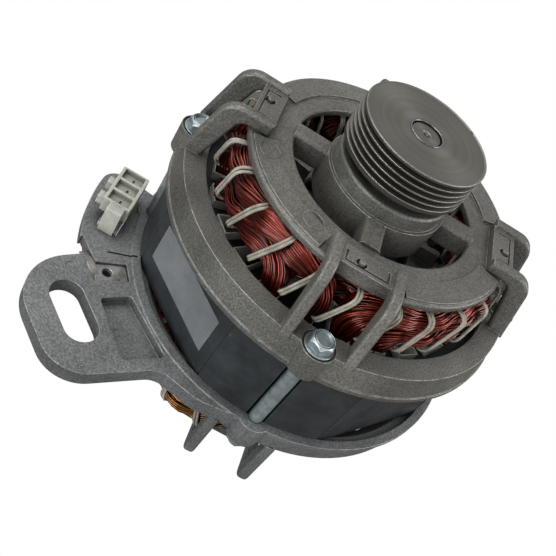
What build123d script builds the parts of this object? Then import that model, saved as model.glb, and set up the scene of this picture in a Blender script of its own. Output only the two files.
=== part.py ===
from build123d import *
import math
import os

os.makedirs("parts", exist_ok=True)

# Belt drive washing machine motor, in millimetres.
# The shaft axis is Z with the pulley at the top, the rear feet rest on z = 0,
# and the slotted lug of the rear end shield points along -X.

# Driving sizes of the whole motor
stack_height = 40.0
stack_corner_radius = 64.4
stack_flat = 59.0
register_depth = 3.1
front_depth = 35.3
rear_depth = 35.5
bolt_inset = 0.6
bolt_circle_radius = stack_corner_radius - bolt_inset
bolt_angles = (45, 135, 225, 315)
quarter_angles = (0, 90, 180, 270)
shaft_radius = 7.5
pulley_radius = 23.2
air_gap = 0.45
overrun = 2.0
fit_gap = 0.05
free_gap = 0.3

# Heights that follow from them
stack_bottom = rear_depth - register_depth
stack_top = stack_bottom + stack_height
rear_mate = rear_depth
front_mate = stack_top - register_depth
stack_middle = stack_bottom + stack_height / 2


def polar(radius, angle, height=0):
    turn = math.radians(angle)
    return Vector(radius * math.cos(turn), radius * math.sin(turn), height)


def turned(points):
    # a solid of revolution about Z from (radius, height) points
    outline = Polyline(*[(r, 0, z) for r, z in points], close=True)
    return revolve(Face(Wire(outline.edges())), axis=Axis.Z)


def tube(outer, inner, low, high):
    return turned([(inner, low), (outer, low), (outer, high), (inner, high)])


def disc(radius, low, high):
    return turned([(0, low), (radius, low), (radius, high), (0, high)])


def plate(points, low, high, rounding=None):
    # an upright prism over a flat outline, its corners rounded by matching radii
    face = make_face(Polyline(*points, close=True))
    for point, radius in rounding or []:
        corner = face.vertices().sort_by_distance((point[0], point[1], 0))[0]
        face = fillet(corner, radius)
    return Pos(0, 0, low) * extrude(face, high - low)


def block(x_low, x_high, y_low, y_high, z_low, z_high):
    size = Box(x_high - x_low, y_high - y_low, z_high - z_low)
    return Pos((x_low + x_high) / 2, (y_low + y_high) / 2, (z_low + z_high) / 2) * size


def around(shape, angles):
    return [Rot(0, 0, angle) * shape for angle in angles]


def save(shape, name):
    if isinstance(shape, list):
        shape = Compound(children=shape)
    export_step(shape, "parts/" + name + ".step")
    print(name, round(shape.volume))


# Rim, ring, arches, spokes and hub that both end shields share
rim_height = 10.5
rim_wall = 3.4
rim_draft = 2.0
rim_ledge = 6.6
rim_seat_ledge = 3.2
rim_outer = stack_corner_radius + rim_wall
rim_top_outer = rim_outer - rim_draft
rim_inner = stack_corner_radius - rim_ledge
rim_plate = 3.6
rim_seat_inner = stack_corner_radius - rim_seat_ledge
rim_lip_height = 1.8
rim_lip_step = 0.5
boss_radius = 6.3
bolt_hole_radius = 2.95
spotface_radius = 6.0
spotface_depth = 0.8
arch_rib_offset = 11.2
arch_rib_width = 4.0
arch_foot_inset = 1.4
arch_foot_thickness = 6.6
arch_foot_outer = rim_outer - arch_foot_inset
arch_foot_inner = arch_foot_outer - arch_foot_thickness
arch_rib_thickness = 5.0
front_knee_inset = 8.2
front_knee_radius = 8.0
rear_knee_inset = 1.4
rear_knee_radius = 4.5
arch_edge_radius = 1.2
arch_pad_drop = 1.7
arch_pad_thickness = 3.4
arch_pad_gap = 6.2
arch_pad_outer = rim_inner - arch_pad_gap
arch_pad_groove = 0.7
arch_pad_frame = 1.4
arch_dimple_radius = 1.9
arch_dimple_depth = 2.0
arch_dimple_inset = 3.6
arch_dimple_circle = arch_pad_outer - arch_dimple_inset
arch_dimple_angle = -2.5
ring_gap = 6.5
ring_width = 16.0
ring_outer = rim_inner - ring_gap
ring_inner = ring_outer - ring_width
arch_overlap = 8.3
arch_rib_end = ring_outer - arch_overlap
ring_drop = 4.0
ring_thickness = 3.9
ring_band_width = 6.5
ring_band_drop = 0.9
ring_edge_radius = 1.0
sector_half_angle = 27.0
spoke_width = 7.6
spoke_height = 9.0
spoke_drop = 2.6
spoke_edge_radius = 1.5
hub_radius = 22.0
hub_step_height = 6.0
hub_step = 1.2
hub_recess_radius = 18.6
hub_recess_depth = 2.8
hub_edge_radius = 1.3
hub_wall = 2.6
hub_skirt = 1.5


def rim():
    register = stack_corner_radius + fit_gap
    seat = rim_height - rim_plate
    return turned([
        (register, 0),
        (rim_outer, 0),
        (rim_outer, rim_lip_height),
        (rim_outer - rim_lip_step, rim_lip_height),
        (rim_top_outer, rim_height),
        (rim_inner, rim_height),
        (rim_inner, seat),
        (rim_seat_inner, register_depth),
        (register, register_depth),
    ])


def arch_rib(depth, knee_inset, knee_radius):
    foot = rim_height - rim_plate / 2
    knee = (rim_outer - knee_inset, depth)
    inner_knee = (knee[0] - arch_foot_thickness, depth - arch_rib_thickness)
    points = [
        (arch_foot_outer, foot),
        knee,
        (arch_rib_end, depth),
        (arch_rib_end, depth - arch_rib_thickness),
        inner_knee,
        (arch_foot_inner, foot),
    ]
    face = make_face(Polyline(*points, close=True))
    for point, radius in ((knee, knee_radius), (inner_knee, knee_radius / 2)):
        corner = face.vertices().sort_by_distance((point[0], point[1], 0))[0]
        face = fillet(corner, radius)
    rib = extrude(face, arch_rib_width / 2, both=True)
    outside = rib.faces().filter_by(Axis.Z).edges()
    rib = fillet(outside, arch_edge_radius)
    return Rot(90, 0, 0) * rib


def arch(depth, knee_inset, knee_radius):
    # two bent ribs straddle the bolt, with a grooved pad between them at the top
    rib = arch_rib(depth, knee_inset, knee_radius)
    half = arch_rib_offset - arch_rib_width / 2 + arch_edge_radius
    top = depth - arch_pad_drop
    pad = block(arch_rib_end, arch_pad_outer, -half, half, top - arch_pad_thickness, top)
    inset = half - arch_edge_radius - arch_pad_frame
    low = top - arch_pad_groove
    frame_out = arch_pad_outer - arch_pad_frame
    groove = block(arch_rib_end + overrun, frame_out, -inset, inset, low, top + overrun)
    gap = arch_pad_groove
    island = block(arch_rib_end, frame_out - gap, -inset + gap, inset - gap, low, top)
    pad = pad - groove + island
    dimple = Pos(*polar(arch_dimple_circle, arch_dimple_angle, top - arch_dimple_depth))
    pad -= dimple * disc(arch_dimple_radius, 0, arch_dimple_depth + overrun)
    return Pos(0, arch_rib_offset, 0) * rib + Pos(0, -arch_rib_offset, 0) * rib + pad


def top_ring(depth):
    top = depth - ring_drop
    low = top - ring_thickness
    band = ring_inner + ring_band_width
    ring = turned([
        (ring_inner, low),
        (ring_outer, low),
        (ring_outer, top - ring_band_drop),
        (ring_inner, top - ring_band_drop),
    ])
    ring = fillet(ring.edges().filter_by(GeomType.CIRCLE), ring_edge_radius)
    sector = tube(ring_outer - ring_edge_radius, band, low + ring_edge_radius, top)
    reach = ring_outer * 2
    corner = polar(reach, sector_half_angle)
    wedge = plate([(0, 0), (corner.X, -corner.Y), (corner.X, corner.Y)], low, top)
    sector = sector & wedge
    for piece in around(sector, quarter_angles):
        ring += piece
    return ring


def spoke(depth):
    top = depth - spoke_drop - ring_band_drop
    inner = hub_radius - hub_wall
    outer = ring_inner + ring_edge_radius / 2
    bar = block(inner, outer, -spoke_width / 2, spoke_width / 2, top - spoke_height, top)
    return fillet(bar.edges().filter_by(Axis.X), spoke_edge_radius)


def hub(top, seat_radius, seat_width, neck_radius):
    # bearing housing: open towards the rotor, closed by a wall with the shaft hole
    roof = top - hub_recess_depth - hub_wall
    low = roof - seat_width - hub_skirt
    body = turned([
        (seat_radius, low),
        (hub_radius + hub_step, low),
        (hub_radius + hub_step, top - hub_step_height),
        (hub_radius, top - hub_step_height),
        (hub_radius, top),
        (hub_recess_radius, top),
        (hub_recess_radius, top - hub_recess_depth),
        (neck_radius, top - hub_recess_depth),
        (neck_radius, roof),
        (seat_radius, roof),
    ])
    rim_edges = body.edges().filter_by(GeomType.CIRCLE).group_by(Axis.Z)[-1]
    return fillet(rim_edges, hub_edge_radius)


def end_shield(depth, knee, hub_top, seat_radius, seat_width, neck_radius):
    # the casting in its own frame: mating edge at 0, growing outwards along +Z
    knee_inset, knee_radius = knee
    body = rim() + top_ring(depth)
    boss = Pos(bolt_circle_radius, 0, 0) * disc(boss_radius, 0, rim_height)
    body = body + around(boss, bolt_angles)
    body -= disc(stack_corner_radius + fit_gap, -overrun, register_depth)
    body = body + around(arch(depth, knee_inset, knee_radius), bolt_angles)
    body = body + around(spoke(depth), bolt_angles)
    body = body + hub(hub_top, seat_radius, seat_width, neck_radius)
    return body


def bolt_drill():
    # through hole and spot face of one bolt, in the casting's own frame
    hole = disc(bolt_hole_radius, -overrun, rim_height + overrun)
    seat = disc(spotface_radius, rim_height - spotface_depth, rim_height + spotface_radius)
    return Pos(bolt_circle_radius, 0, 0) * (hole + seat)


# Bearings: bore, outside radius and width, then the balls
front_bearing_outer = 17.5
front_bearing_width = 11.0
front_ball_count = 8
rear_bearing_bore = 6.0
rear_bearing_outer = 16.0
rear_bearing_width = 10.0
wave_thickness = 0.5
rear_ball_count = 7
ball_radius = 2.98
ball_clearance = 0.05
race_wall_share = 0.23
cage_thickness = 0.9
cage_width = 5.2
seal_thickness = 0.7

# Front hub stands proud of the arches, the rear one stays inside them
front_hub_top = 37.9
rear_hub_top = 33.0
shaft_clearance = 1.2

front_neck = shaft_radius + shaft_clearance
front_roof = front_mate + front_hub_top - hub_recess_depth - hub_wall
front_bearing_middle = front_roof - front_bearing_width / 2
rear_neck = rear_bearing_bore + shaft_clearance
rear_roof = rear_mate - rear_hub_top + hub_recess_depth + hub_wall
rear_race_low = rear_roof + wave_thickness
rear_bearing_middle = rear_race_low + rear_bearing_width / 2


def front_shield():
    knee = (front_knee_inset, front_knee_radius)
    body = end_shield(front_depth, knee, front_hub_top, front_bearing_outer, front_bearing_width,
                      front_neck)
    body = body - around(bolt_drill(), bolt_angles)
    return Pos(0, 0, front_mate) * body


# Lug, connector flange and earth pad of the rear end shield
lug_thickness = 6.0
lug_drop = 0.5
lug_reach = 107.2
lug_top_y = 29.4
lug_low_y = 16.0
lug_low_inner_y = 20.6
lug_throat_x = 71.5
lug_root_x = 58.0
lug_blend_x = 63.4
lug_blend_y = 34.2
lug_root_low_x = 47.6
lug_root_low_y = 46.4
lug_blend_radius = 14.0
lug_corner_radius = 20.0
lug_heel_radius = 14.5
lug_throat_radius = 8.0
slot_centre_x = 91.9
slot_centre_y = 6.8
slot_half_width = 6.0
slot_length = 25.2
pocket_outer_x = 82.2
pocket_inner_x = 69.6
pocket_shift = 1.0
pocket_top_y = 10.4
pocket_low_y = 15.6
pocket_depth = 3.6
pocket_corner_radius = 1.5
flange_radius = 86.5
flange_thickness = 4.4
flange_corner_radius = 7.0
flange_tail_radius = 2.5
flange_start_angle = 127.5
flange_end_angle = 156.5
notch_width = 3.4
notch_outer_x = 80.4
notch_low_y = 17.8
notch_top_y = 37.0
window_near = 71.2
window_far = 79.4
window_start = 20.5
window_end = 1.5
earth_x = 72.3
earth_y = 20.4
earth_length = 11.4
earth_width = 7.8
earth_turn = -14.0
earth_depth = 1.6
earth_hole_x = 73.9
earth_hole_y = 20.8
earth_hole_radius = 1.65
tab_thickness = 0.7
tab_drop = 4.6
tab_hole_clearance = 0.25
groove_x = 66.7
groove_y = 27.7
groove_length = 13.6
groove_width = 0.8
groove_depth = 0.7
groove_turn = -20.5


def earth_recess(left, right, half, low, high):
    # block in the frame of the recess beside the notch
    recess = block(left, right, -half, half, low, high)
    return Pos(-earth_x, earth_y, 0) * Rot(0, 0, earth_turn) * recess


def lug():
    # the flat lug with its adjuster slot, pocket and ridge
    top = rear_mate - lug_drop
    low = top - lug_thickness
    shoulder = (-lug_reach, lug_top_y)
    heel = (-lug_reach, -lug_low_y)
    throat = (-lug_throat_x, -lug_low_inner_y)
    blend = (-lug_blend_x, -lug_blend_y)
    points = [
        (-lug_root_x, lug_top_y),
        shoulder,
        heel,
        throat,
        blend,
        (-lug_root_low_x, -lug_root_low_y),
    ]
    rounding = [
        (shoulder, lug_corner_radius),
        (heel, lug_heel_radius),
        (throat, lug_throat_radius),
        (blend, lug_blend_radius),
    ]
    body = plate(points, low, top, rounding)
    corners = [
        (-pocket_outer_x + pocket_shift, pocket_top_y),
        (-pocket_inner_x, pocket_top_y - pocket_shift),
        (-pocket_inner_x + 2 * pocket_shift, -pocket_low_y - pocket_shift),
        (-pocket_outer_x - pocket_shift, -pocket_low_y + pocket_shift),
    ]
    pocket = plate(corners, top - pocket_depth, top + overrun)
    return body - fillet(pocket.edges().filter_by(Axis.Z), pocket_corner_radius)


def connector_flange():
    # curved plate beside the lug that carries the connector
    top = rear_mate - lug_drop
    low = top - flange_thickness
    ring = tube(flange_radius, rim_inner + boss_radius, low, top)
    reach = flange_radius * 2
    start = polar(reach, flange_start_angle)
    end = polar(reach, flange_end_angle)
    wedge = plate([(0, 0), (start.X, start.Y), (end.X, end.Y)], low, top)
    sector = ring & wedge
    tip = polar(flange_radius, flange_start_angle, low)
    tail = polar(flange_radius, flange_end_angle, low)
    edge = sector.edges().filter_by(Axis.Z).sort_by_distance(tip)[0]
    sector = fillet(edge, flange_corner_radius)
    edge = sector.edges().filter_by(Axis.Z).sort_by_distance(tail)[0]
    return fillet(edge, flange_tail_radius)


def connector_frame(shape):
    # local X runs outwards from the shaft, local Y against the bolt angle, at bolt two
    return Rot(0, 0, bolt_angles[1]) * shape


def rear_shield():
    knee = (rear_knee_inset, rear_knee_radius)
    casting = end_shield(rear_depth, knee, rear_hub_top, rear_bearing_outer,
                         rear_bearing_width + wave_thickness, rear_neck)
    body = Pos(0, 0, rear_mate) * mirror(casting, about=Plane.XY)
    top = rear_mate - lug_drop
    low = top - lug_thickness
    extra = lug() + connector_flange()
    extra -= disc(stack_corner_radius + fit_gap, 0, rear_mate + overrun)
    drill = Pos(0, 0, rear_mate) * mirror(bolt_drill(), about=Plane.XY)
    body = body + extra - around(drill, bolt_angles)
    slot = Rot(0, 0, 90) * extrude(SlotOverall(slot_length, slot_half_width * 2), lug_thickness * 2)
    body -= Pos(-slot_centre_x, slot_centre_y, low - lug_thickness / 2) * slot
    body -= block(-notch_outer_x, -notch_outer_x + notch_width, notch_low_y, notch_top_y,
                  low - overrun, top + overrun)
    window = block(window_near, window_far, -window_end, window_start, low - overrun,
                   top + overrun)
    body -= connector_frame(window)
    body -= earth_recess(-earth_length / 2, earth_length / 2, earth_width / 2, top - earth_depth,
                         top + overrun)
    body -= Pos(-earth_hole_x, earth_hole_y, 0) * disc(earth_hole_radius, low - overrun,
                                                       top + overrun)
    groove = Box(groove_length, groove_width, groove_depth * 2)
    body -= Pos(-groove_x, groove_y, top) * Rot(0, 0, groove_turn) * groove
    return body


def earth_tab():
    # stamped contact plate in the recess, folded down into the notch beside it
    floor = rear_mate - lug_drop - earth_depth
    high = floor + tab_thickness
    edge = -earth_length / 2
    half = earth_width / 2 - free_gap
    body = earth_recess(edge - tab_thickness, -edge - free_gap, half, floor, high)
    body += earth_recess(edge - tab_thickness, edge, half, high - tab_drop, high)
    hole = disc(earth_hole_radius + tab_hole_clearance, floor - overrun, floor + overrun)
    return body - Pos(-earth_hole_x, earth_hole_y, 0) * hole


# Stator core
bore_radius = 35.0
slot_count = 24
slot_pitch = 360 / slot_count
slot_inner = 36.4
slot_outer = 53.4
slot_inner_width = 5.4
slot_outer_width = 8.2
slot_mouth_width = 2.6
rod_groove_radius = 3.5
seam_width = 0.9
seam_depth = 0.5
slot_angles = [slot_pitch * (n + 0.5) for n in range(slot_count)]


def slot_outline(inset):
    # tapered slot section, drawn smaller by the inset
    inner_half = slot_inner_width / 2 - inset
    outer_half = slot_outer_width / 2 - inset
    inner = slot_inner + inset
    outer = slot_outer - inset
    return [(inner, -inner_half), (outer, -outer_half), (outer, outer_half), (inner, inner_half)]


def stator_core():
    body = disc(stack_corner_radius, stack_bottom, stack_top)
    side = stack_flat * 2
    middle = Pos(0, 0, stack_middle)
    body = body & middle * Box(side, side, stack_height)
    body -= disc(bore_radius, stack_bottom - overrun, stack_top + overrun)
    slot = plate(slot_outline(0), stack_bottom - overrun, stack_top + overrun)
    slot += block(bore_radius - overrun, slot_inner + overrun, -slot_mouth_width / 2,
                  slot_mouth_width / 2, stack_bottom - overrun, stack_top + overrun)
    body = body - around(slot, slot_angles)
    groove = disc(rod_groove_radius, stack_bottom - overrun, stack_top + overrun)
    reach = rod_groove_radius * 2
    groove += block(0, reach, -rod_groove_radius, rod_groove_radius, stack_bottom - overrun,
                    stack_top + overrun)
    body = body - around(Pos(bolt_circle_radius, 0, 0) * groove, bolt_angles)
    flat_half = math.sqrt(stack_corner_radius ** 2 - stack_flat ** 2)
    for side_sign in (-1, 1):
        seam = middle * Pos(stack_flat, side_sign * (flat_half - seam_width), 0)
        seam = seam * Box(seam_depth * 2, seam_width, stack_height + overrun)
        body = body - around(seam, quarter_angles)
    return body


# Slot insulation
liner_thickness = 0.35
liner_cuff = 3.2
wedge_thickness = 0.8


def slot_liners():
    low = stack_bottom - liner_cuff
    high = stack_top + liner_cuff
    shell = plate(slot_outline(0), low, high)
    shell -= plate(slot_outline(liner_thickness), low - overrun, high + overrun)
    mouth = slot_inner_width / 2 - liner_thickness
    shell -= block(slot_inner - overrun, slot_inner + wedge_thickness, -mouth, mouth,
                   low - overrun, high + overrun)
    return around(shell, slot_angles)


def slot_wedges():
    low = stack_bottom - liner_cuff / 2
    high = stack_top + liner_cuff / 2
    half = slot_inner_width / 2 - liner_thickness
    wedge = block(slot_inner, slot_inner + wedge_thickness, -half, half, low, high)
    return around(wedge, slot_angles)


# Windings: two concentric coils a pole, each one unbroken tube
wire_radius = 1.3
wire_pitch = 3.05
wire_bend = 3.6
start_coil_inner = 39.3
main_coil_inner = start_coil_inner + 2 * wire_pitch
start_turns = 2
main_turns = 3
wide_half_angle = slot_pitch * 2.5
narrow_half_angle = slot_pitch * 1.5
head_level = 20.2
narrow_head_drop = 7.2
pole_count = 4


def coil_head(first, second, level, side, reach):
    # quarter bend, flat arc about the shaft, quarter bend; side is 1 above and -1 below
    chord = (second - first)
    length = chord.length
    along = chord.normalized()
    outward = Vector((first.X + second.X) / 2, (first.Y + second.Y) / 2, 0).normalized()
    lean = math.asin(length / 2 / math.hypot(reach, wire_bend)) - math.atan2(wire_bend, reach)
    leave = along * math.cos(lean) + outward * math.sin(lean)
    arrive = along * math.cos(lean) - outward * math.sin(lean)
    up = Vector(0, 0, side)
    bend_low = level - side * wire_bend
    start = Vector(first.X, first.Y, bend_low)
    flat_start = start + up * wire_bend + leave * wire_bend
    end = Vector(second.X, second.Y, bend_low)
    flat_end = end + up * wire_bend - arrive * wire_bend
    one = TangentArc(start, flat_start, tangent=up)
    two = TangentArc(flat_start, flat_end, tangent=leave)
    three = TangentArc(flat_end, end, tangent=arrive)
    return start, [one.edge(), two.edge(), three.edge()], end


def coil_path(centre, half_angle, inner, turns, drop):
    # sides run straight down the slots, heads pass over and under the stack
    front = stack_top + head_level - drop
    rear = stack_bottom - head_level + drop
    edges = []
    tail = stack_bottom + stack_height / 4
    here = polar(inner, centre - half_angle, tail)
    for turn in range(turns):
        radius = inner + turn * wire_pitch
        first = polar(radius, centre - half_angle)
        second = polar(radius, centre + half_angle)
        start, arcs, end = coil_head(first, second, front, 1, radius)
        edges += [Line(here, start).edge()] + arcs
        here = end
        if turn < turns - 1:
            third = polar(radius + wire_pitch, centre - half_angle)
            start, arcs, end = coil_head(second, third, rear, -1, radius + wire_pitch / 2)
            edges += [Line(here, start).edge()] + arcs
            here = end
    low = Vector(here.X, here.Y, tail)
    edges.append(Line(here, low).edge())
    return edges


def least_gap(edges):
    # smallest distance between stretches of one tube that are not neighbours along it
    points = []
    run = 0
    for edge in edges:
        steps = max(2, int(edge.length / wire_radius))
        for n in range(steps):
            points.append((run + edge.length * n / steps, edge.position_at(n / steps)))
        run += edge.length
    least = run
    near = wire_bend * math.pi
    for i, (along, here) in enumerate(points):
        for other, there in points[i + 1:]:
            if other - along > near:
                least = min(least, (here - there).length)
    return least - 2 * wire_radius


def coil(centre, half_angle, inner, turns, drop):
    edges = coil_path(centre, half_angle, inner, turns, drop)
    path = Wire(edges)
    section = Plane(origin=path @ 0, z_dir=path % 0) * Circle(wire_radius)
    body = sweep(section, path)
    expected = math.pi * wire_radius ** 2 * path.length
    return body, least_gap(edges), body.volume / expected


def pole_coils(centre, inner, turns):
    wide, wide_gap, wide_fill = coil(centre, wide_half_angle, inner, turns, 0)
    narrow, narrow_gap, narrow_fill = coil(centre, narrow_half_angle, inner, turns,
                                           narrow_head_drop)
    print("coil gap", round(min(wide_gap, narrow_gap), 2), "volume against section times length",
          round(wide_fill, 4), round(narrow_fill, 4))
    return [wide, narrow]


# Lacing ties round the coil heads
tie_radius = 0.8
tie_corner = 2.2


def lacing_tie(low, high):
    inner = start_coil_inner - wire_radius - free_gap - tie_radius
    outer = main_coil_inner + (main_turns - 1) * wire_pitch + wire_radius + free_gap + tie_radius
    outer += wire_bend / 4
    points = [(inner, 0, low), (outer, 0, low), (outer, 0, high), (inner, 0, high)]
    path = FilletPolyline(*points, radius=tie_corner, close=True)
    section = Plane(origin=path @ 0, z_dir=path % 0) * Circle(tie_radius)
    return sweep(section, path)


def lacing(side):
    clear = wire_radius + free_gap + tie_radius
    outer_level = head_level + clear
    inner_level = head_level - narrow_head_drop - clear
    angles = [slot_pitch * n for n in range(slot_count)]
    if side > 0:
        tie = lacing_tie(stack_top + inner_level, stack_top + outer_level)
    else:
        tie = lacing_tie(stack_bottom - outer_level, stack_bottom - inner_level)
    return around(tie, angles)


# Rotor, its cast end rings with fan blades, and the shaft
rotor_radius = bore_radius - air_gap
rotor_bore = 9.0
end_ring_outer = 33.6
end_ring_inner = 23.0
end_ring_height = 6.5
blade_count = 9
blade_height = 6.0
blade_thickness = 2.4
blade_length = 9.0
shaft_shoulder = 9.0
pulley_seat_radius = 6.0
pulley_width = 13.8
pulley_gap = 4.0
shaft_inset = 1.0
shaft_chamfer = 0.8
centre_hole_radius = 1.6
centre_hole_depth = 3.0
rear_shaft_over = 1.5

front_hub_level = front_mate + front_hub_top
pulley_low = front_hub_level + pulley_gap
pulley_high = pulley_low + pulley_width
shaft_top = pulley_high - shaft_inset
front_race_top = front_roof
front_race_low = front_roof - front_bearing_width
rear_race_top = rear_race_low + rear_bearing_width
shaft_bottom = rear_race_low - rear_shaft_over


def rotor_core():
    return tube(rotor_radius, rotor_bore, stack_bottom, stack_top)


def end_ring(side):
    # short circuit ring with radial fan blades, cast in one piece
    ring = tube(end_ring_outer, end_ring_inner, 0, end_ring_height)
    ring = chamfer(ring.edges().filter_by(GeomType.CIRCLE).group_by(Axis.Z)[-1], shaft_chamfer)
    middle = (end_ring_outer + end_ring_inner) / 2
    top = end_ring_height + blade_height
    blade = block(middle - blade_length / 2, middle + blade_length / 2, -blade_thickness / 2,
                  blade_thickness / 2, end_ring_height - shaft_chamfer, top)
    ring = ring + around(blade, [360 / blade_count * n for n in range(blade_count)])
    if side > 0:
        return Pos(0, 0, stack_top) * ring
    return Pos(0, 0, stack_bottom) * mirror(ring, about=Plane.XY)


def shaft():
    body = turned([
        (0, shaft_bottom),
        (rear_bearing_bore - shaft_chamfer, shaft_bottom),
        (rear_bearing_bore, shaft_bottom + shaft_chamfer),
        (rear_bearing_bore, rear_race_top),
        (shaft_shoulder, rear_race_top),
        (shaft_shoulder, front_race_low),
        (shaft_radius, front_race_low),
        (shaft_radius, pulley_low),
        (pulley_seat_radius, pulley_low),
        (pulley_seat_radius, shaft_top - shaft_chamfer),
        (pulley_seat_radius - shaft_chamfer, shaft_top),
        (0, shaft_top),
    ])
    cone = Cone(0, centre_hole_radius, centre_hole_depth)
    return body - Pos(0, 0, shaft_top - centre_hole_depth / 2) * cone


def bearing_race_walls(bore, outer):
    wall = (outer - bore) * race_wall_share
    return bore + wall, outer - wall


def ball_groove(bore, outer):
    # ring shaped channel that both races share
    middle = (bore + outer) / 2
    return Torus(middle, ball_radius + ball_clearance)


def outer_race(bore, outer, width, middle):
    inner_wall, outer_wall = bearing_race_walls(bore, outer)
    race = tube(outer, outer_wall, -width / 2, width / 2) - ball_groove(bore, outer)
    return Pos(0, 0, middle) * race


def inner_race(bore, outer, width, middle):
    inner_wall, outer_wall = bearing_race_walls(bore, outer)
    race = tube(inner_wall, bore, -width / 2, width / 2) - ball_groove(bore, outer)
    return Pos(0, 0, middle) * race


def bearing_balls(bore, outer, count, middle):
    ball = Pos((bore + outer) / 2, 0, middle) * Sphere(ball_radius)
    return around(ball, [360 / count * n for n in range(count)])


def bearing_cage(bore, outer, count, middle):
    centre = (bore + outer) / 2
    cage = tube(centre + cage_thickness / 2, centre - cage_thickness / 2, -cage_width / 2,
                cage_width / 2)
    hole = Pos(centre, 0, 0) * Sphere(ball_radius + ball_clearance)
    for angle in [360 / count * n for n in range(count)]:
        cage -= Rot(0, 0, angle) * hole
    return Pos(0, 0, middle) * cage


def bearing_seals(bore, outer, width, middle):
    inner_wall, outer_wall = bearing_race_walls(bore, outer)
    seal = tube(outer_wall, inner_wall + free_gap, -seal_thickness / 2, seal_thickness / 2)
    offset = width / 2 - seal_thickness
    return [Pos(0, 0, middle + offset) * seal, Pos(0, 0, middle - offset) * seal]


# Preload washer under the rear bearing, and the sleeve below the pulley
spacer_wall = 0.8

# Pulley with five grooves
groove_count = 5
groove_pitch = 2.34
groove_depth = 1.9
groove_flat = 0.3
pulley_rim_wall = 3.4
pulley_web = 4.6
pulley_hub_radius = 10.5
pulley_face_drop = 0.7
pulley_face_radius = 21.4
pulley_dish_radius = 9.2
pulley_dish_depth = 2.2


def pulley():
    crest = groove_pitch - 2 * groove_flat
    points = [(pulley_seat_radius, pulley_low), (pulley_hub_radius, pulley_low)]
    inner = pulley_radius - pulley_rim_wall - groove_depth
    web_low = pulley_high - pulley_web
    points += [(pulley_hub_radius, web_low), (inner, web_low), (inner, pulley_low)]
    points.append((pulley_radius, pulley_low))
    band = groove_count * groove_pitch
    start = pulley_high - groove_flat - (pulley_width - band) / 4 - band
    for n in range(groove_count):
        low = start + n * groove_pitch
        points.append((pulley_radius, low + groove_flat))
        points.append((pulley_radius - groove_depth, low + groove_flat + crest / 2))
        points.append((pulley_radius, low + groove_flat + crest))
    points.append((pulley_radius, pulley_high - groove_flat))
    points.append((pulley_radius - groove_flat, pulley_high))
    points.append((pulley_face_radius, pulley_high))
    face = pulley_high - pulley_face_drop
    points.append((pulley_face_radius - pulley_face_drop, face))
    points.append((pulley_dish_radius, face))
    points.append((pulley_dish_radius - pulley_dish_depth / 2, face - pulley_dish_depth))
    points.append((pulley_seat_radius, face - pulley_dish_depth))
    return turned(points)


def pulley_spacer():
    return tube(shaft_radius + spacer_wall, shaft_radius, front_race_top, pulley_low)


def preload_washer():
    return tube(rear_bearing_outer - free_gap, rear_neck + free_gap, rear_roof, rear_race_low)


# Through bolts and nuts
rod_radius = 2.7
head_flat_radius = 4.0
head_height = 3.6
head_dish_radius = 2.9
head_dish_depth = 0.9
washer_radius = 5.2
washer_thickness = 0.9
nut_height = 4.0
bolt_end_over = 2.2

bolt_seat = front_mate + rim_height - spotface_depth
nut_seat = rear_mate - rim_height + spotface_depth


def hexagon(flat_radius, low, high):
    shape = extrude(RegularPolygon(flat_radius, 6, major_radius=False), high - low)
    return Pos(0, 0, low) * shape


def through_bolt():
    high = bolt_seat + washer_thickness
    end = nut_seat - washer_thickness - nut_height - bolt_end_over
    head = hexagon(head_flat_radius, high, high + head_height)
    cap = Cone(head_flat_radius * 1.6, head_flat_radius * 0.9, head_height)
    head = head & Pos(0, 0, high + head_height / 2) * cap
    dish = disc(head_dish_radius, high + head_height - head_dish_depth, high + head_height * 2)
    return head - dish + disc(rod_radius, end, high)


def through_nut():
    high = nut_seat - washer_thickness
    return hexagon(head_flat_radius, high - nut_height, high) - disc(rod_radius, 0, high + overrun)


def washer(low):
    return tube(washer_radius, rod_radius + fit_gap, low, low + washer_thickness)


def on_bolts(shape):
    return around(Pos(bolt_circle_radius, 0, 0) * shape, bolt_angles)


# Connector on its flange: a wide head over a narrow foot, three cavities
connector_near = 70.6
connector_far = 81.0
connector_foot_near = 72.4
connector_foot_far = 78.2
connector_start = 21.8
connector_end = 2.0
connector_height = 11.6
connector_head_height = 6.4
connector_head_start = 17.8
connector_count = 3
connector_wall = 1.2
connector_cavity_depth = 2.2
connector_edge_radius = 0.7
connector_stub = 3.6
latch_width = 3.4
latch_reach = 2.4
latch_height = 3.6
latch_shares = (0.28, 0.78)
terminal_width = 2.8
terminal_thickness = 0.8
terminal_length = 12.5


def flange_top():
    return rear_mate - lug_drop


def cavity_centres():
    length = (connector_head_start + connector_end) / connector_count
    return [connector_head_start - length * (n + 0.5) for n in range(connector_count)]


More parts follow.
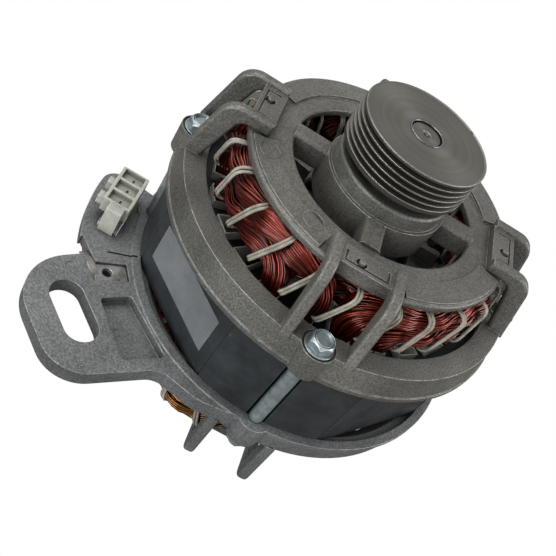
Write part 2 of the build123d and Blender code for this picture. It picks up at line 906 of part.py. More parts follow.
def connector_housing():
    low = flange_top()
    high = low + connector_height
    head_low = high - connector_head_height
    foot = block(connector_foot_near, connector_foot_far, -connector_end, connector_start, low,
                 high - connector_edge_radius)
    head = block(connector_near, connector_far, -connector_end, connector_head_start, head_low,
                 high)
    head = fillet(head.edges().filter_by(Axis.Z), connector_edge_radius)
    stub = block(window_near + free_gap, window_far - free_gap, -window_end + free_gap,
                 window_start - free_gap, low - connector_stub, low + connector_wall)
    body = foot + head + stub
    cell = (connector_head_start + connector_end) / connector_count - connector_wall
    for centre in cavity_centres():
        cavity = block(connector_near + connector_wall, connector_far - connector_wall,
                       centre - cell / 2, centre + cell / 2, high - connector_cavity_depth,
                       high + overrun)
        body -= cavity
        slot_low = low - connector_stub - overrun
        body -= block((window_near + window_far) / 2 - terminal_thickness / 2,
                      (window_near + window_far) / 2 + terminal_thickness / 2,
                      centre - terminal_width / 2, centre + terminal_width / 2, slot_low, high)
    for share in latch_shares:
        place = connector_head_start * share
        latch = block(connector_far - overrun / 2, connector_far + latch_reach,
                      place - latch_width / 2, place + latch_width / 2, head_low,
                      head_low + latch_height)
        body += latch
    return connector_frame(body)


def connector_terminals():
    low = flange_top() - connector_stub
    middle = (window_near + window_far) / 2
    pins = []
    for centre in cavity_centres():
        half = terminal_width / 2
        pin = block(middle - terminal_thickness / 2, middle + terminal_thickness / 2,
                    centre - half, centre + half, low, low + terminal_length)
        pins.append(connector_frame(pin))
    return pins


# Leads from the rear winding to the connector
lead_radius = 1.1
lead_bend = 6.5
lead_bulge_radius = 84.0
lead_bulge_angle = 150.0
lead_rim_angle = 163.0
lead_end_angle = 170.0
lead_end_turn = 2.5
lead_count = 3


def terminal_foot(index):
    middle = (window_near + window_far) / 2
    spot = Rot(0, 0, bolt_angles[1]) * Pos(middle, cavity_centres()[index], 0)
    return Vector(spot.position.X, spot.position.Y, flange_top() - connector_stub)


def lead_route(index):
    # down from the terminal, out past the flange edge, back in below the rim to the winding
    foot = terminal_foot(index)
    level = stack_bottom - head_level + narrow_head_drop * (1 - index / (lead_count - 1))
    below = Vector(foot.X, foot.Y, level)
    bulge = polar(lead_bulge_radius - index * 4 * lead_radius, lead_bulge_angle, level)
    inward = polar(rim_top_outer, lead_rim_angle, level)
    reach = main_coil_inner + (main_turns - 1) * wire_pitch + wire_radius + 2 * free_gap
    end = polar(reach, lead_end_angle + index * lead_end_turn, level)
    return [foot, below, bulge, inward, end]


def lead_wire(index):
    path = FilletPolyline(*lead_route(index), radius=lead_bend)
    section = Plane(origin=path @ 0, z_dir=path % 0) * Circle(lead_radius)
    return sweep(section, path)


# Label on the flat that faces the lug
label_length = 40.4
label_height = 16.8
label_thickness = 0.25
label_rise = 18.0
label_shift = 0.3


def rating_plate():
    # blank self adhesive label on the flat of the stack
    middle_height = stack_bottom + label_rise
    label = Box(label_thickness, label_length, label_height)
    return Pos(-stack_flat - label_thickness / 2, label_shift, middle_height) * label


save(front_shield(), "front_end_shield")
save(rear_shield(), "rear_end_shield")
save(earth_tab(), "earth_tab")
save(stator_core(), "stator_core")
save(slot_liners(), "slot_liners")
save(slot_wedges(), "slot_wedges")
for number, centre in enumerate(bolt_angles, 1):
    save(pole_coils(centre - 180 / pole_count, main_coil_inner, main_turns), "main_coils_%d" % number)
    save(pole_coils(centre, start_coil_inner, start_turns), "start_coils_%d" % number)
save(lacing(1), "front_lacing")
save(lacing(-1), "rear_lacing")
save(rotor_core(), "rotor_core")
save(end_ring(1), "front_end_ring")
save(end_ring(-1), "rear_end_ring")
save(shaft(), "shaft")
front = (shaft_radius, front_bearing_outer)
rear = (rear_bearing_bore, rear_bearing_outer)
for name, size, width, count, middle in (
    ("front", front, front_bearing_width, front_ball_count, front_bearing_middle),
    ("rear", rear, rear_bearing_width, rear_ball_count, rear_bearing_middle),
):
    save(outer_race(*size, width, middle), name + "_bearing_outer_race")
    save(inner_race(*size, width, middle), name + "_bearing_inner_race")
    save(bearing_balls(*size, count, middle), name + "_bearing_balls")
    save(bearing_cage(*size, count, middle), name + "_bearing_cage")
    save(bearing_seals(*size, width, middle), name + "_bearing_seals")
save(pulley(), "pulley")
save(pulley_spacer(), "pulley_spacer")
save(preload_washer(), "preload_washer")
save(on_bolts(through_bolt()), "through_bolts")
save(on_bolts(through_nut()), "bolt_nuts")
save(on_bolts(washer(bolt_seat)), "front_washers")
save(on_bolts(washer(nut_seat - washer_thickness)), "rear_washers")
save(connector_housing(), "connector_housing")
save(connector_terminals(), "connector_terminals")
for index, name in enumerate(("red_lead", "blue_lead", "white_lead")):
    save(lead_wire(index), name)
save(rating_plate(), "rating_plate")
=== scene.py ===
import math
import random

import bmesh
import bpy
from mathutils import Matrix, Vector


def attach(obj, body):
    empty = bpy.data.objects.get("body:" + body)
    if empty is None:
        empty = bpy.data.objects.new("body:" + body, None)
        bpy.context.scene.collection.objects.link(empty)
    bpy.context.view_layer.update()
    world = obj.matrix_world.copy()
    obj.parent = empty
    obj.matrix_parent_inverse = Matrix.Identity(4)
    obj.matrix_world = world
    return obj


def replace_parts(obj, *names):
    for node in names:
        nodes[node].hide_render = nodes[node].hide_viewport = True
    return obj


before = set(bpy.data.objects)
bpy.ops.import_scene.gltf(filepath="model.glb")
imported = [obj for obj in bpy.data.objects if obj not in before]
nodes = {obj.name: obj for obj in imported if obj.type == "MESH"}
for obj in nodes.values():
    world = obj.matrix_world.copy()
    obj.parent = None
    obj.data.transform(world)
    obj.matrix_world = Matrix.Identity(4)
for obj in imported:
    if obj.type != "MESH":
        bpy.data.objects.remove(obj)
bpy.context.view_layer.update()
mm = 0.001
poleAngles = (45, 135, 225, 315)
stackTopMm = 72.4
stackBottomMm = 32.4
weld = 0.002 * mm  # points of a CAD mesh nearer than this are one
print("frame loaded", len(nodes), "nodes")


def linear(hexText):
    channels = []
    for start in (0, 2, 4):
        value = int(hexText[start:start + 2], 16) / 255
        channels.append(value / 12.92 if value <= 0.04045 else ((value + 0.055) / 1.055) ** 2.4)
    return (*channels, 1.0)


def setInputs(tree, node, inputs):
    for key, value in inputs.items():
        if isinstance(value, bpy.types.NodeSocket):
            tree.links.new(value, node.inputs[key])
        else:
            node.inputs[key].default_value = value


def addNode(tree, kind, out=None, inputs=None, **settings):
    # gives back the output that out names, or the node itself where none is named
    node = tree.nodes.new(kind)
    for name, value in settings.items():
        setattr(node, name, value)
    setInputs(tree, node, inputs or {})
    return node if out is None else node.outputs[out]


def newMaterial(name):
    material = bpy.data.materials.new(name)
    material.use_nodes = True
    tree = material.node_tree
    place = addNode(tree, "ShaderNodeTexCoord", "Object")
    return material, tree, tree.nodes["Principled BSDF"], place


def edgeWear(tree, radiusMm):
    # the mask is 1 where the surface turns sharply within the radius, 0 on flat ground
    rounded = addNode(tree, "ShaderNodeBevel", "Normal", {"Radius": radiusMm * mm}, samples=6)
    plain = addNode(tree, "ShaderNodeNewGeometry", "Normal")
    alike = addNode(tree, "ShaderNodeVectorMath", "Value", {0: rounded, 1: plain}, operation="DOT_PRODUCT")
    mask = addNode(tree, "ShaderNodeMapRange", "Result",
                   {"Value": alike, "From Min": 0.985, "From Max": 0.86})
    return mask, rounded


def paintHollowShade(tree, colour, reachMm, low):
    # painted shade: in corners and hollows the colour falls to its low share
    share = addNode(tree, "ShaderNodeAmbientOcclusion", "AO", {"Distance": reachMm * mm}, samples=8)
    shade = addNode(tree, "ShaderNodeMapRange", "Result",
                    {"Value": share, "From Min": 0.15, "From Max": 0.85, "To Min": low})
    return addNode(tree, "ShaderNodeMix", 2, {0: 1.0, 6: colour, 7: shade},
                   data_type="RGBA", blend_type="MULTIPLY")


# What the cast, plated and moulded finishes start from. Lengths are real millimetres: patches of tone,
# grain and its depth, the worn edge's radius, the breaks in that wear, and how far the painted shade in
# hollows reaches.
finish = {"rough": 0.5, "metal": 0.0, "patchMm": 6.0, "grainMm": 0.6, "grainDepthMm": 0.03,
          "wearMm": 0.8, "chipMm": 3.0, "paintedShadeLow": 0.5, "paintedShadeMm": 7.0, "coat": 0.0, "speckle": 0.12}


def general(name, own):
    look = {**finish, **own}
    material, tree, shader, place = newMaterial(name)
    patches = addNode(tree, "ShaderNodeTexNoise", "Fac",
                      {"Vector": place, "Scale": 1 / (look["patchMm"] * mm),
                       "Detail": 5.0, "Roughness": 0.6})
    grain = addNode(tree, "ShaderNodeTexNoise", "Fac",
                    {"Vector": place, "Scale": 1 / (look["grainMm"] * mm),
                     "Detail": 2.0, "Roughness": 0.55})
    chips = addNode(tree, "ShaderNodeTexNoise", "Fac",
                    {"Vector": place, "Scale": 1 / (look["chipMm"] * mm), "Detail": 3.0, "Roughness": 0.55})
    # two tones in soft patches, then the grain's speckle
    share = addNode(tree, "ShaderNodeMapRange", "Result",
                    {"Value": patches, "From Min": 0.3, "From Max": 0.7})
    colour = addNode(tree, "ShaderNodeMix", 2,
                     {0: share, 6: linear(look["dark"]), 7: linear(look["light"])}, data_type="RGBA")
    speck = addNode(tree, "ShaderNodeMapRange", "Result",
                    {"Value": grain, "From Min": 0.36, "From Max": 0.66,
                     "To Min": 1 - look["speckle"], "To Max": 1 + look["speckle"]})
    colour = addNode(tree, "ShaderNodeMix", 2, {0: 1.0, 6: colour, 7: speck},
                     data_type="RGBA", blend_type="MULTIPLY")
    # edges rubbed bright in broken runs
    mask, rounded = edgeWear(tree, look["wearMm"])
    rubbed = addNode(tree, "ShaderNodeMapRange", "Result",
                     {"Value": chips, "From Min": 0.3, "From Max": 0.6})
    broken = addNode(tree, "ShaderNodeMath", 0, {0: mask, 1: rubbed}, operation="MULTIPLY")
    colour = addNode(tree, "ShaderNodeMix", 2, {0: broken, 6: colour, 7: linear(look["wear"])},
                     data_type="RGBA")
    # painted shade: the colour darkens in hollows and corners
    colour = paintHollowShade(tree, colour, look["paintedShadeMm"], look["paintedShadeLow"])
    gloss = addNode(tree, "ShaderNodeMapRange", "Result",
                    {"Value": patches, "From Min": 0.2, "From Max": 0.8,
                     "To Min": look["rough"] - 0.07, "To Max": look["rough"] + 0.1})
    relief = addNode(tree, "ShaderNodeBump", "Normal",
                     {"Height": grain, "Distance": look["grainDepthMm"] * mm,
                      "Strength": 1.0, "Normal": rounded})
    setInputs(tree, shader, {"Base Color": colour, "Roughness": gloss, "Normal": relief,
                             "Metallic": look["metal"], "Coat Weight": look["coat"]})
    return material


# Die-cast aluminium of the rear shield: dull grey with a sandy grain and thin bright edges.
# A real grain of about 0.3 mm is too fine to show, so it is drawn at 0.75 mm.
castAluminium = general("castAluminium", {"dark": "636566", "light": "7c7e7f", "wear": "aeaeac",
                                          "rough": 0.44, "metal": 0.45, "patchMm": 26.0, "grainMm": 0.75,
                                          "grainDepthMm": 0.16, "wearMm": 0.45, "paintedShadeLow": 0.3,
                                          "speckle": 0.3})
# The same casting on the front shield, a darker and warmer copy for painted shade, its grain as coarse
shadedCastAluminium = general("shadedCastAluminium", {"dark": "5a5955", "light": "71706a", "wear": "a9a7a2",
                                            "rough": 0.44, "metal": 0.45, "patchMm": 26.0, "grainMm": 0.7,
                                            "grainDepthMm": 0.15, "wearMm": 0.5, "paintedShadeLow": 0.3,
                                            "speckle": 0.3})
# Cast aluminium of the rotor's end rings: smoother and brighter, as it is turned after casting
rotorAluminium = general("rotorAluminium", {"dark": "6a6966", "light": "8f8e8a", "wear": "b5b4b0",
                                            "rough": 0.45, "metal": 0.7, "patchMm": 4.0, "grainMm": 0.5,
                                            "grainDepthMm": 0.04, "wearMm": 0.5, "paintedShadeLow": 0.35})
# Dull zinc plating on the bolts, nuts and washers: pale, cool and half glossy
zincPlate = general("zincPlate", {"dark": "97a4a8", "light": "bfcacd", "wear": "e6ebed", "rough": 0.36,
                                  "metal": 0.8, "patchMm": 2.5, "grainMm": 0.25, "grainDepthMm": 0.01,
                                  "wearMm": 0.35, "paintedShadeLow": 0.3})
# Stamped zinc plated contact sheet, stained by oil: glossier, with brown-grey patches
zincTab = general("zincTab", {"dark": "83827e", "light": "b3b2ad", "wear": "ecece9", "rough": 0.28,
                              "metal": 0.8, "patchMm": 3.0, "grainMm": 0.5, "grainDepthMm": 0.012,
                              "wearMm": 0.3, "paintedShadeLow": 0.45, "speckle": 0.08})
# Ground and lightly oiled steel: smooth, with soft highlights
groundSteel = general("groundSteel", {"dark": "6c6d6e", "light": "8d8e8f", "wear": "c5c6c7", "rough": 0.3,
                                      "metal": 0.9, "patchMm": 5.0, "grainMm": 0.3, "grainDepthMm": 0.01,
                                      "wearMm": 0.4, "paintedShadeLow": 0.4})
# Polished bearing steel of the races and balls: near mirror
bearingSteel = general("bearingSteel", {"dark": "a2a4a6", "light": "bcbec0", "wear": "dadcde",
                                        "rough": 0.16, "metal": 1.0, "patchMm": 5.0, "grainMm": 0.4,
                                        "grainDepthMm": 0.003, "wearMm": 0.3})
# Nitrile rubber of the bearing seals: matt and nearly black
sealRubber = general("sealRubber", {"dark": "18181a", "light": "26262a", "wear": "38383c", "rough": 0.6,
                                    "patchMm": 2.0, "grainMm": 0.2, "grainDepthMm": 0.01, "wearMm": 0.3,
                                    "paintedShadeLow": 0.6})
# Moulded nylon of the plug socket: ivory, slightly aged, with a soft sheen
ivoryNylon = general("ivoryNylon", {"dark": "999a90", "light": "b4b5ab", "wear": "d0d0c6", "rough": 0.42,
                                    "patchMm": 7.0, "grainMm": 0.5, "grainDepthMm": 0.01, "wearMm": 0.6,
                                    "paintedShadeLow": 0.35, "coat": 0.1})
# Tinned brass of the socket's contacts and the ball cages: pale yellow-grey
tinnedBrass = general("tinnedBrass", {"dark": "8f8a74", "light": "b8b29a", "wear": "d8d4c0", "rough": 0.3,
                                      "metal": 0.9, "patchMm": 2.0, "grainMm": 0.3, "grainDepthMm": 0.01,
                                      "wearMm": 0.3, "paintedShadeLow": 0.4})
# Polyester film folded into the slots: milky, darkened by painted shade where its cuffs sit in hollows
slotFilm = general("slotFilm", {"dark": "acaca4", "light": "cbcbc2", "wear": "dcdcd4", "rough": 0.45,
                                "patchMm": 3.0, "grainMm": 0.4, "grainDepthMm": 0.02, "wearMm": 0.3,
                                "paintedShadeLow": 0.7})
# Silver polyester label, left blank: flat grey with a faint metal gloss
labelFilm = general("labelFilm", {"dark": "6f7376", "light": "7f8386", "wear": "a1a5a7", "rough": 0.34,
                                  "metal": 0.25, "patchMm": 8.0, "grainMm": 0.3, "grainDepthMm": 0.006,
                                  "wearMm": 0.2, "paintedShadeLow": 0.6, "coat": 0.2})
# Extruded PVC of the three leads: smooth, with a soft plastic gloss
lead = {"rough": 0.4, "patchMm": 3.0, "grainMm": 0.4, "grainDepthMm": 0.01, "wearMm": 0.3, "coat": 0.15}
redInsulation = general("redInsulation", {**lead, "dark": "6a1512", "light": "8c211b", "wear": "a84038"})
blueInsulation = general("blueInsulation", {**lead, "dark": "1a2b55", "light": "27407a", "wear": "4a62a0"})
whiteInsulation = general("whiteInsulation", {**lead, "dark": "a5a398", "light": "c2c0b6", "wear": "d6d4cc"})


# Stamped electrical steel, dipped in charcoal varnish: sheets of 0.5 mm show as fine level lines
stackLook = {"dark": "1d2022", "light": "34383b", "edge": "55585a", "dust": "6b6a66", "sheetMm": 0.5,
             "patchMm": 11.0, "dustMm": 2.2, "lineDepthMm": 0.05, "wearMm": 0.5, "metal": 0.15}


def laminationMaterial():
    material, tree, shader, place = newMaterial("varnishedLaminations")
    height = addNode(tree, "ShaderNodeSeparateXYZ", "Z", {0: place})
    level = addNode(tree, "ShaderNodeCombineXYZ", 0, {"Z": height})
    sheets = addNode(tree, "ShaderNodeTexNoise", "Fac",
                     {"Vector": level, "Scale": 1 / (stackLook["sheetMm"] * mm),
                      "Detail": 1.0, "Roughness": 0.55})
    patches = addNode(tree, "ShaderNodeTexNoise", "Fac",
                      {"Vector": place, "Scale": 1 / (stackLook["patchMm"] * mm),
                       "Detail": 6.0, "Roughness": 0.65})
    specks = addNode(tree, "ShaderNodeTexNoise", "Fac",
                     {"Vector": place, "Scale": 1 / (stackLook["dustMm"] * mm),
                      "Detail": 4.0, "Roughness": 0.7})
    share = addNode(tree, "ShaderNodeMapRange", "Result",
                    {"Value": patches, "From Min": 0.3, "From Max": 0.72})
    colour = addNode(tree, "ShaderNodeMix", 2,
                     {0: share, 6: linear(stackLook["dark"]), 7: linear(stackLook["light"])},
                     data_type="RGBA")
    line = addNode(tree, "ShaderNodeMapRange", "Result",
                   {"Value": sheets, "From Min": 0.42, "From Max": 0.62, "To Min": 0.82, "To Max": 1.12})
    colour = addNode(tree, "ShaderNodeMix", 2, {0: 1.0, 6: colour, 7: line},
                     data_type="RGBA", blend_type="MULTIPLY")
    mask, rounded = edgeWear(tree, stackLook["wearMm"])
    colour = addNode(tree, "ShaderNodeMix", 2, {0: mask, 6: colour, 7: linear(stackLook["edge"])},
                     data_type="RGBA")
    dust = addNode(tree, "ShaderNodeMapRange", "Result",
                   {"Value": specks, "From Min": 0.62, "From Max": 0.78, "To Max": 0.35})
    colour = addNode(tree, "ShaderNodeMix", 2, {0: dust, 6: colour, 7: linear(stackLook["dust"])},
                     data_type="RGBA")
    gloss = addNode(tree, "ShaderNodeMapRange", "Result",
                    {"Value": patches, "From Min": 0.2, "From Max": 0.8, "To Min": 0.42, "To Max": 0.6})
    relief = addNode(tree, "ShaderNodeBump", "Normal",
                     {"Height": sheets, "Distance": stackLook["lineDepthMm"] * mm,
                      "Strength": 1.0, "Normal": rounded})
    setInputs(tree, shader, {"Base Color": colour, "Roughness": gloss, "Normal": relief,
                             "Metallic": stackLook["metal"]})
    return material


# Turned and oiled steel: the tool's rings round the shaft axis show in colour, gloss and relief.
# A feed of about 0.15 mm is too fine to show, so the rings are drawn 0.45 mm apart.
turning = {"dark": "67655f", "light": "807d76", "wear": "c9c9c6", "feedMm": 0.45, "bandMm": 2.6,
           "patchMm": 5.0, "ringDepthMm": 0.003, "wearMm": 0.25, "paintedShadeMm": 3.0, "paintedShadeLow": 0.6,
           "metal": 0.95, "streak": 0.65}


def turnedMaterial():
    material, tree, shader, place = newMaterial("turnedSteel")
    parts = addNode(tree, "ShaderNodeSeparateXYZ", None, {0: place}).outputs
    flat = addNode(tree, "ShaderNodeCombineXYZ", 0, {"X": parts["X"], "Y": parts["Y"]})
    radius = addNode(tree, "ShaderNodeVectorMath", "Value", {0: flat}, operation="LENGTH")
    across = addNode(tree, "ShaderNodeCombineXYZ", 0, {"X": radius, "Z": parts["Z"]})
    rings = addNode(tree, "ShaderNodeTexNoise", "Fac",
                    {"Vector": across, "Scale": 1 / (turning["feedMm"] * mm),
                     "Detail": 3.0, "Roughness": 0.7})
    bands = addNode(tree, "ShaderNodeTexNoise", "Fac",
                    {"Vector": across, "Scale": 1 / (turning["bandMm"] * mm),
                     "Detail": 2.0, "Roughness": 0.55})
    patches = addNode(tree, "ShaderNodeTexNoise", "Fac",
                      {"Vector": place, "Scale": 1 / (turning["patchMm"] * mm),
                       "Detail": 4.0, "Roughness": 0.55})
    tone = addNode(tree, "ShaderNodeMath", 0, {0: rings, 1: bands}, operation="ADD")
    share = addNode(tree, "ShaderNodeMapRange", "Result", {"Value": tone, "From Min": 0.6, "From Max": 1.4})
    colour = addNode(tree, "ShaderNodeMix", 2,
                     {0: share, 6: linear(turning["dark"]), 7: linear(turning["light"])}, data_type="RGBA")
    mask, rounded = edgeWear(tree, turning["wearMm"])
    colour = addNode(tree, "ShaderNodeMix", 2, {0: mask, 6: colour, 7: linear(turning["wear"])},
                     data_type="RGBA")
    # painted shade: the colour darkens in grooves and hollows
    colour = paintHollowShade(tree, colour, turning["paintedShadeMm"], turning["paintedShadeLow"])
    gloss = addNode(tree, "ShaderNodeMapRange", "Result",
                    {"Value": patches, "From Min": 0.2, "From Max": 0.8, "To Min": 0.36, "To Max": 0.48})
    relief = addNode(tree, "ShaderNodeBump", "Normal",
                     {"Height": rings, "Distance": turning["ringDepthMm"] * mm,
                      "Strength": 1.0, "Normal": rounded})
    tangent = addNode(tree, "ShaderNodeTangent", 0, direction_type="RADIAL", axis="Z")
    setInputs(tree, shader, {"Base Color": colour, "Roughness": gloss, "Normal": relief, "Tangent": tangent,
                             "Anisotropic": turning["streak"], "Metallic": turning["metal"]})
    return material


# Enamelled copper wire: each wire its own shade of red-brown, under runs of amber varnish
wireLook = {"dark": "47120b", "light": "902d19", "stain": "2e0d0a", "varnish": ("5a3510", "a8741f"),
            "varnishMm": (24, 19), "patchMm": 4.0, "grainMm": 0.8, "grainDepthMm": 0.05,
            "paintedShadeMm": 4.0, "paintedShadeLow": 0.3, "metal": 0.85, "coat": 0.55, "coatRough": 0.12}


def wireMaterial():
    material, tree, shader, place = newMaterial("enamelledCopper")
    shadeOfWire = addNode(tree, "ShaderNodeAttribute", "Fac", attribute_name="wireShade")
    height = addNode(tree, "ShaderNodeSeparateXYZ", "Z", {0: place})
    patches = addNode(tree, "ShaderNodeTexNoise", "Fac",
                      {"Vector": place, "Scale": 1 / (wireLook["patchMm"] * mm),
                       "Detail": 4.0, "Roughness": 0.65})
    grain = addNode(tree, "ShaderNodeTexNoise", "Fac",
                    {"Vector": place, "Scale": 1 / (wireLook["grainMm"] * mm),
                     "Detail": 3.0, "Roughness": 0.55})
    colour = addNode(tree, "ShaderNodeMix", 2,
                     {0: shadeOfWire, 6: linear(wireLook["dark"]), 7: linear(wireLook["light"])},
                     data_type="RGBA")
    stained = addNode(tree, "ShaderNodeMapRange", "Result",
                      {"Value": patches, "From Min": 0.5, "From Max": 0.8, "To Max": 0.6})
    colour = addNode(tree, "ShaderNodeMix", 2, {0: stained, 6: colour, 7: linear(wireLook["stain"])},
                     data_type="RGBA")
    # the varnish drained to the rear heads and set there
    thin, thick = wireLook["varnish"]
    varnish = addNode(tree, "ShaderNodeMix", 2, {0: patches, 6: linear(thin), 7: linear(thick)},
                      data_type="RGBA")
    startMm, fullMm = wireLook["varnishMm"]
    drained = addNode(tree, "ShaderNodeMapRange", "Result",
                      {"Value": height, "From Min": startMm * mm, "From Max": fullMm * mm, "To Max": 0.8})
    colour = addNode(tree, "ShaderNodeMix", 2, {0: drained, 6: colour, 7: varnish}, data_type="RGBA")
    # painted shade: the colour darkens between the wires and in hollows
    colour = paintHollowShade(tree, colour, wireLook["paintedShadeMm"], wireLook["paintedShadeLow"])
    gloss = addNode(tree, "ShaderNodeMapRange", "Result",
                    {"Value": patches, "From Min": 0.2, "From Max": 0.8, "To Min": 0.24, "To Max": 0.42})
    relief = addNode(tree, "ShaderNodeBump", "Normal",
                     {"Height": grain, "Distance": wireLook["grainDepthMm"] * mm, "Strength": 1.0})
    setInputs(tree, shader, {"Base Color": colour, "Roughness": gloss, "Normal": relief,
                             "Metallic": wireLook["metal"], "Coat Weight": wireLook["coat"],
                             "Coat Roughness": wireLook["coatRough"]})
    return material


# Waxed polyester lacing cord: matt, off-white, soiled by varnish, with the twist as a fine relief
cordLook = {"dark": "7a766b", "light": "aeaba0", "soiled": "6c5f50", "patchMm": 3.5, "weaveMm": 0.35,
            "weaveDepthMm": 0.12, "paintedShadeMm": 3.0, "paintedShadeLow": 0.45, "rough": 0.72}


def cordMaterial():
    material, tree, shader, place = newMaterial("lacingCord")
    strand = addNode(tree, "ShaderNodeAttribute", "Fac", attribute_name="wireShade")
    patches = addNode(tree, "ShaderNodeTexNoise", "Fac",
                      {"Vector": place, "Scale": 1 / (cordLook["patchMm"] * mm),
                       "Detail": 4.0, "Roughness": 0.6})
    weave = addNode(tree, "ShaderNodeTexNoise", "Fac",
                    {"Vector": place, "Scale": 1 / (cordLook["weaveMm"] * mm),
                     "Detail": 2.0, "Roughness": 0.55})
    share = addNode(tree, "ShaderNodeMapRange", "Result",
                    {"Value": patches, "From Min": 0.35, "From Max": 0.7})
    colour = addNode(tree, "ShaderNodeMix", 2,
                     {0: share, 6: linear(cordLook["dark"]), 7: linear(cordLook["light"])},
                     data_type="RGBA")
    soil = addNode(tree, "ShaderNodeMapRange", "Result", {"Value": strand, "To Min": 0.25, "To Max": 0.0})
    colour = addNode(tree, "ShaderNodeMix", 2, {0: soil, 6: colour, 7: linear(cordLook["soiled"])},
                     data_type="RGBA")
    # painted shade: the colour darkens in hollows and where the cord meets the windings
    colour = paintHollowShade(tree, colour, cordLook["paintedShadeMm"], cordLook["paintedShadeLow"])
    relief = addNode(tree, "ShaderNodeBump", "Normal",
                     {"Height": weave, "Distance": cordLook["weaveDepthMm"] * mm, "Strength": 1.0})
    setInputs(tree, shader, {"Base Color": colour, "Roughness": cordLook["rough"], "Normal": relief})
    return material


laminations = laminationMaterial()
turnedSteel = turnedMaterial()
enamelledCopper = wireMaterial()
lacingCord = cordMaterial()
print("materials made")


def dress(name, material):
    # a CAD piece that keeps its own mesh
    mesh = nodes[name].data
    mesh.materials.clear()
    mesh.materials.append(material)


for end in ("front", "rear"):
    for piece, material in (("end_ring", rotorAluminium), ("bearing_outer_race", bearingSteel),
                            ("bearing_inner_race", bearingSteel), ("bearing_balls", bearingSteel),
                            ("bearing_cage", tinnedBrass), ("bearing_seals", sealRubber),
                            ("washers", zincPlate)):
        dress(end + "_" + piece, material)
for name, material in (("slot_liners", slotFilm), ("slot_wedges", slotFilm), ("rotor_core", laminations),
                       ("shaft", turnedSteel), ("pulley_spacer", turnedSteel),
                       ("preload_washer", groundSteel), ("earth_tab", zincTab),
                       ("connector_terminals", tinnedBrass), ("red_lead", redInsulation),
                       ("blue_lead", blueInsulation), ("white_lead", whiteInsulation),
                       ("rating_plate", labelFilm)):
    dress(name, material)


def addPiece(mesh, material):
    mesh.materials.append(material)
    obj = bpy.data.objects.new(mesh.name, mesh)
    bpy.context.scene.collection.objects.link(obj)
    return obj


def pieceFrom(shape, name, material):
    mesh = bpy.data.meshes.new(name)
    shape.to_mesh(mesh)
    shape.free()
    return addPiece(mesh, material)


def softened(name, newName, material, widthMm, body="root", change=None):
    # shows a CAD piece by a copy with rounded edges
    mesh = nodes[name].data.copy()
    mesh.name = newName
    mesh.materials.clear()
    shape = bmesh.new()
    shape.from_mesh(mesh)
    if change:
        change(shape)
    bmesh.ops.remove_doubles(shape, verts=shape.verts, dist=weld)
    bmesh.ops.dissolve_limit(shape, angle_limit=math.radians(0.6), verts=shape.verts, edges=shape.edges)
    bmesh.ops.delete(shape, geom=[v for v in shape.verts if not v.link_faces], context="VERTS")
    shape.to_mesh(mesh)
    shape.free()
    for face in mesh.polygons:
        face.use_smooth = True
    obj = addPiece(mesh, material)
    soften = obj.modifiers.new("softEdges", "BEVEL")
    soften.width = widthMm * mm
    soften.segments = 2
    soften.limit_method = "ANGLE"
    soften.angle_limit = math.radians(35)
    soften.miter_outer = "MITER_ARC"
    weighted = obj.modifiers.new("flatFaces", "WEIGHTED_NORMAL")
    weighted.weight = 100
    weighted.keep_sharp = False
    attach(obj, body)
    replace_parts(obj, name)


# the front shield takes the copy of the casting with painted shade
softened("front_end_shield", "frontShieldCasting", shadedCastAluminium, widthMm=0.7)
softened("rear_end_shield", "rearShieldCasting", castAluminium, widthMm=0.7)
softened("stator_core", "stackLaminations", laminations, widthMm=0.35)

boltHead = {"rimMm": 0.9, "dishMm": 1.9}


def dishHeads(shape):
    # cold formed bolt heads have a shallow dish in the top
    bmesh.ops.remove_doubles(shape, verts=shape.verts, dist=weld)
    top = max(v.co.z for v in shape.verts)
    crowns = [f for f in shape.faces if f.normal.z > 0.9 and f.calc_center_median().z > top - 0.1 * mm]
    bmesh.ops.inset_region(shape, faces=crowns, thickness=boltHead["rimMm"] * mm, use_even_offset=True)
    bmesh.ops.translate(shape, verts=list({v for f in crowns for v in f.verts}),
                        vec=(0, 0, -boltHead["dishMm"] * mm))


softened("through_bolts", "throughBolts", zincPlate, widthMm=0.25, change=dishHeads)
softened("bolt_nuts", "boltNuts", zincPlate, widthMm=0.3)

pulleyFace = {"levelMm": 124.3, "dishMm": 9.5, "dishDepthMm": 2.5, "edgeMm": (20, 21.6),
              "crestMm": 22.4, "liftMm": 0.35}


def levelFace(shape):
    # the dish round the shaft end is filled up to the level of the pulley's face,
    # and the face's edge is drawn out to the first crest
    face = pulleyFace["levelMm"] * mm
    inner, outer = pulleyFace["edgeMm"]
    for v in shape.verts:
        reach = math.hypot(v.co.x, v.co.y)
        if reach < pulleyFace["dishMm"] * mm and face - pulleyFace["dishDepthMm"] * mm < v.co.z < face:
            v.co.z = face
        elif inner * mm < reach < outer * mm and v.co.z > face - 0.1 * mm:
            v.co.x *= pulleyFace["crestMm"] * mm / reach
            v.co.y *= pulleyFace["crestMm"] * mm / reach
            v.co.z = face + pulleyFace["liftMm"] * mm


softened("pulley", "beltPulley", turnedSteel, widthMm=0.12, body="rotor", change=levelFace)
softened("connector_housing", "connectorShell", ivoryNylon, widthMm=0.35)
print("castings and hardware softened")


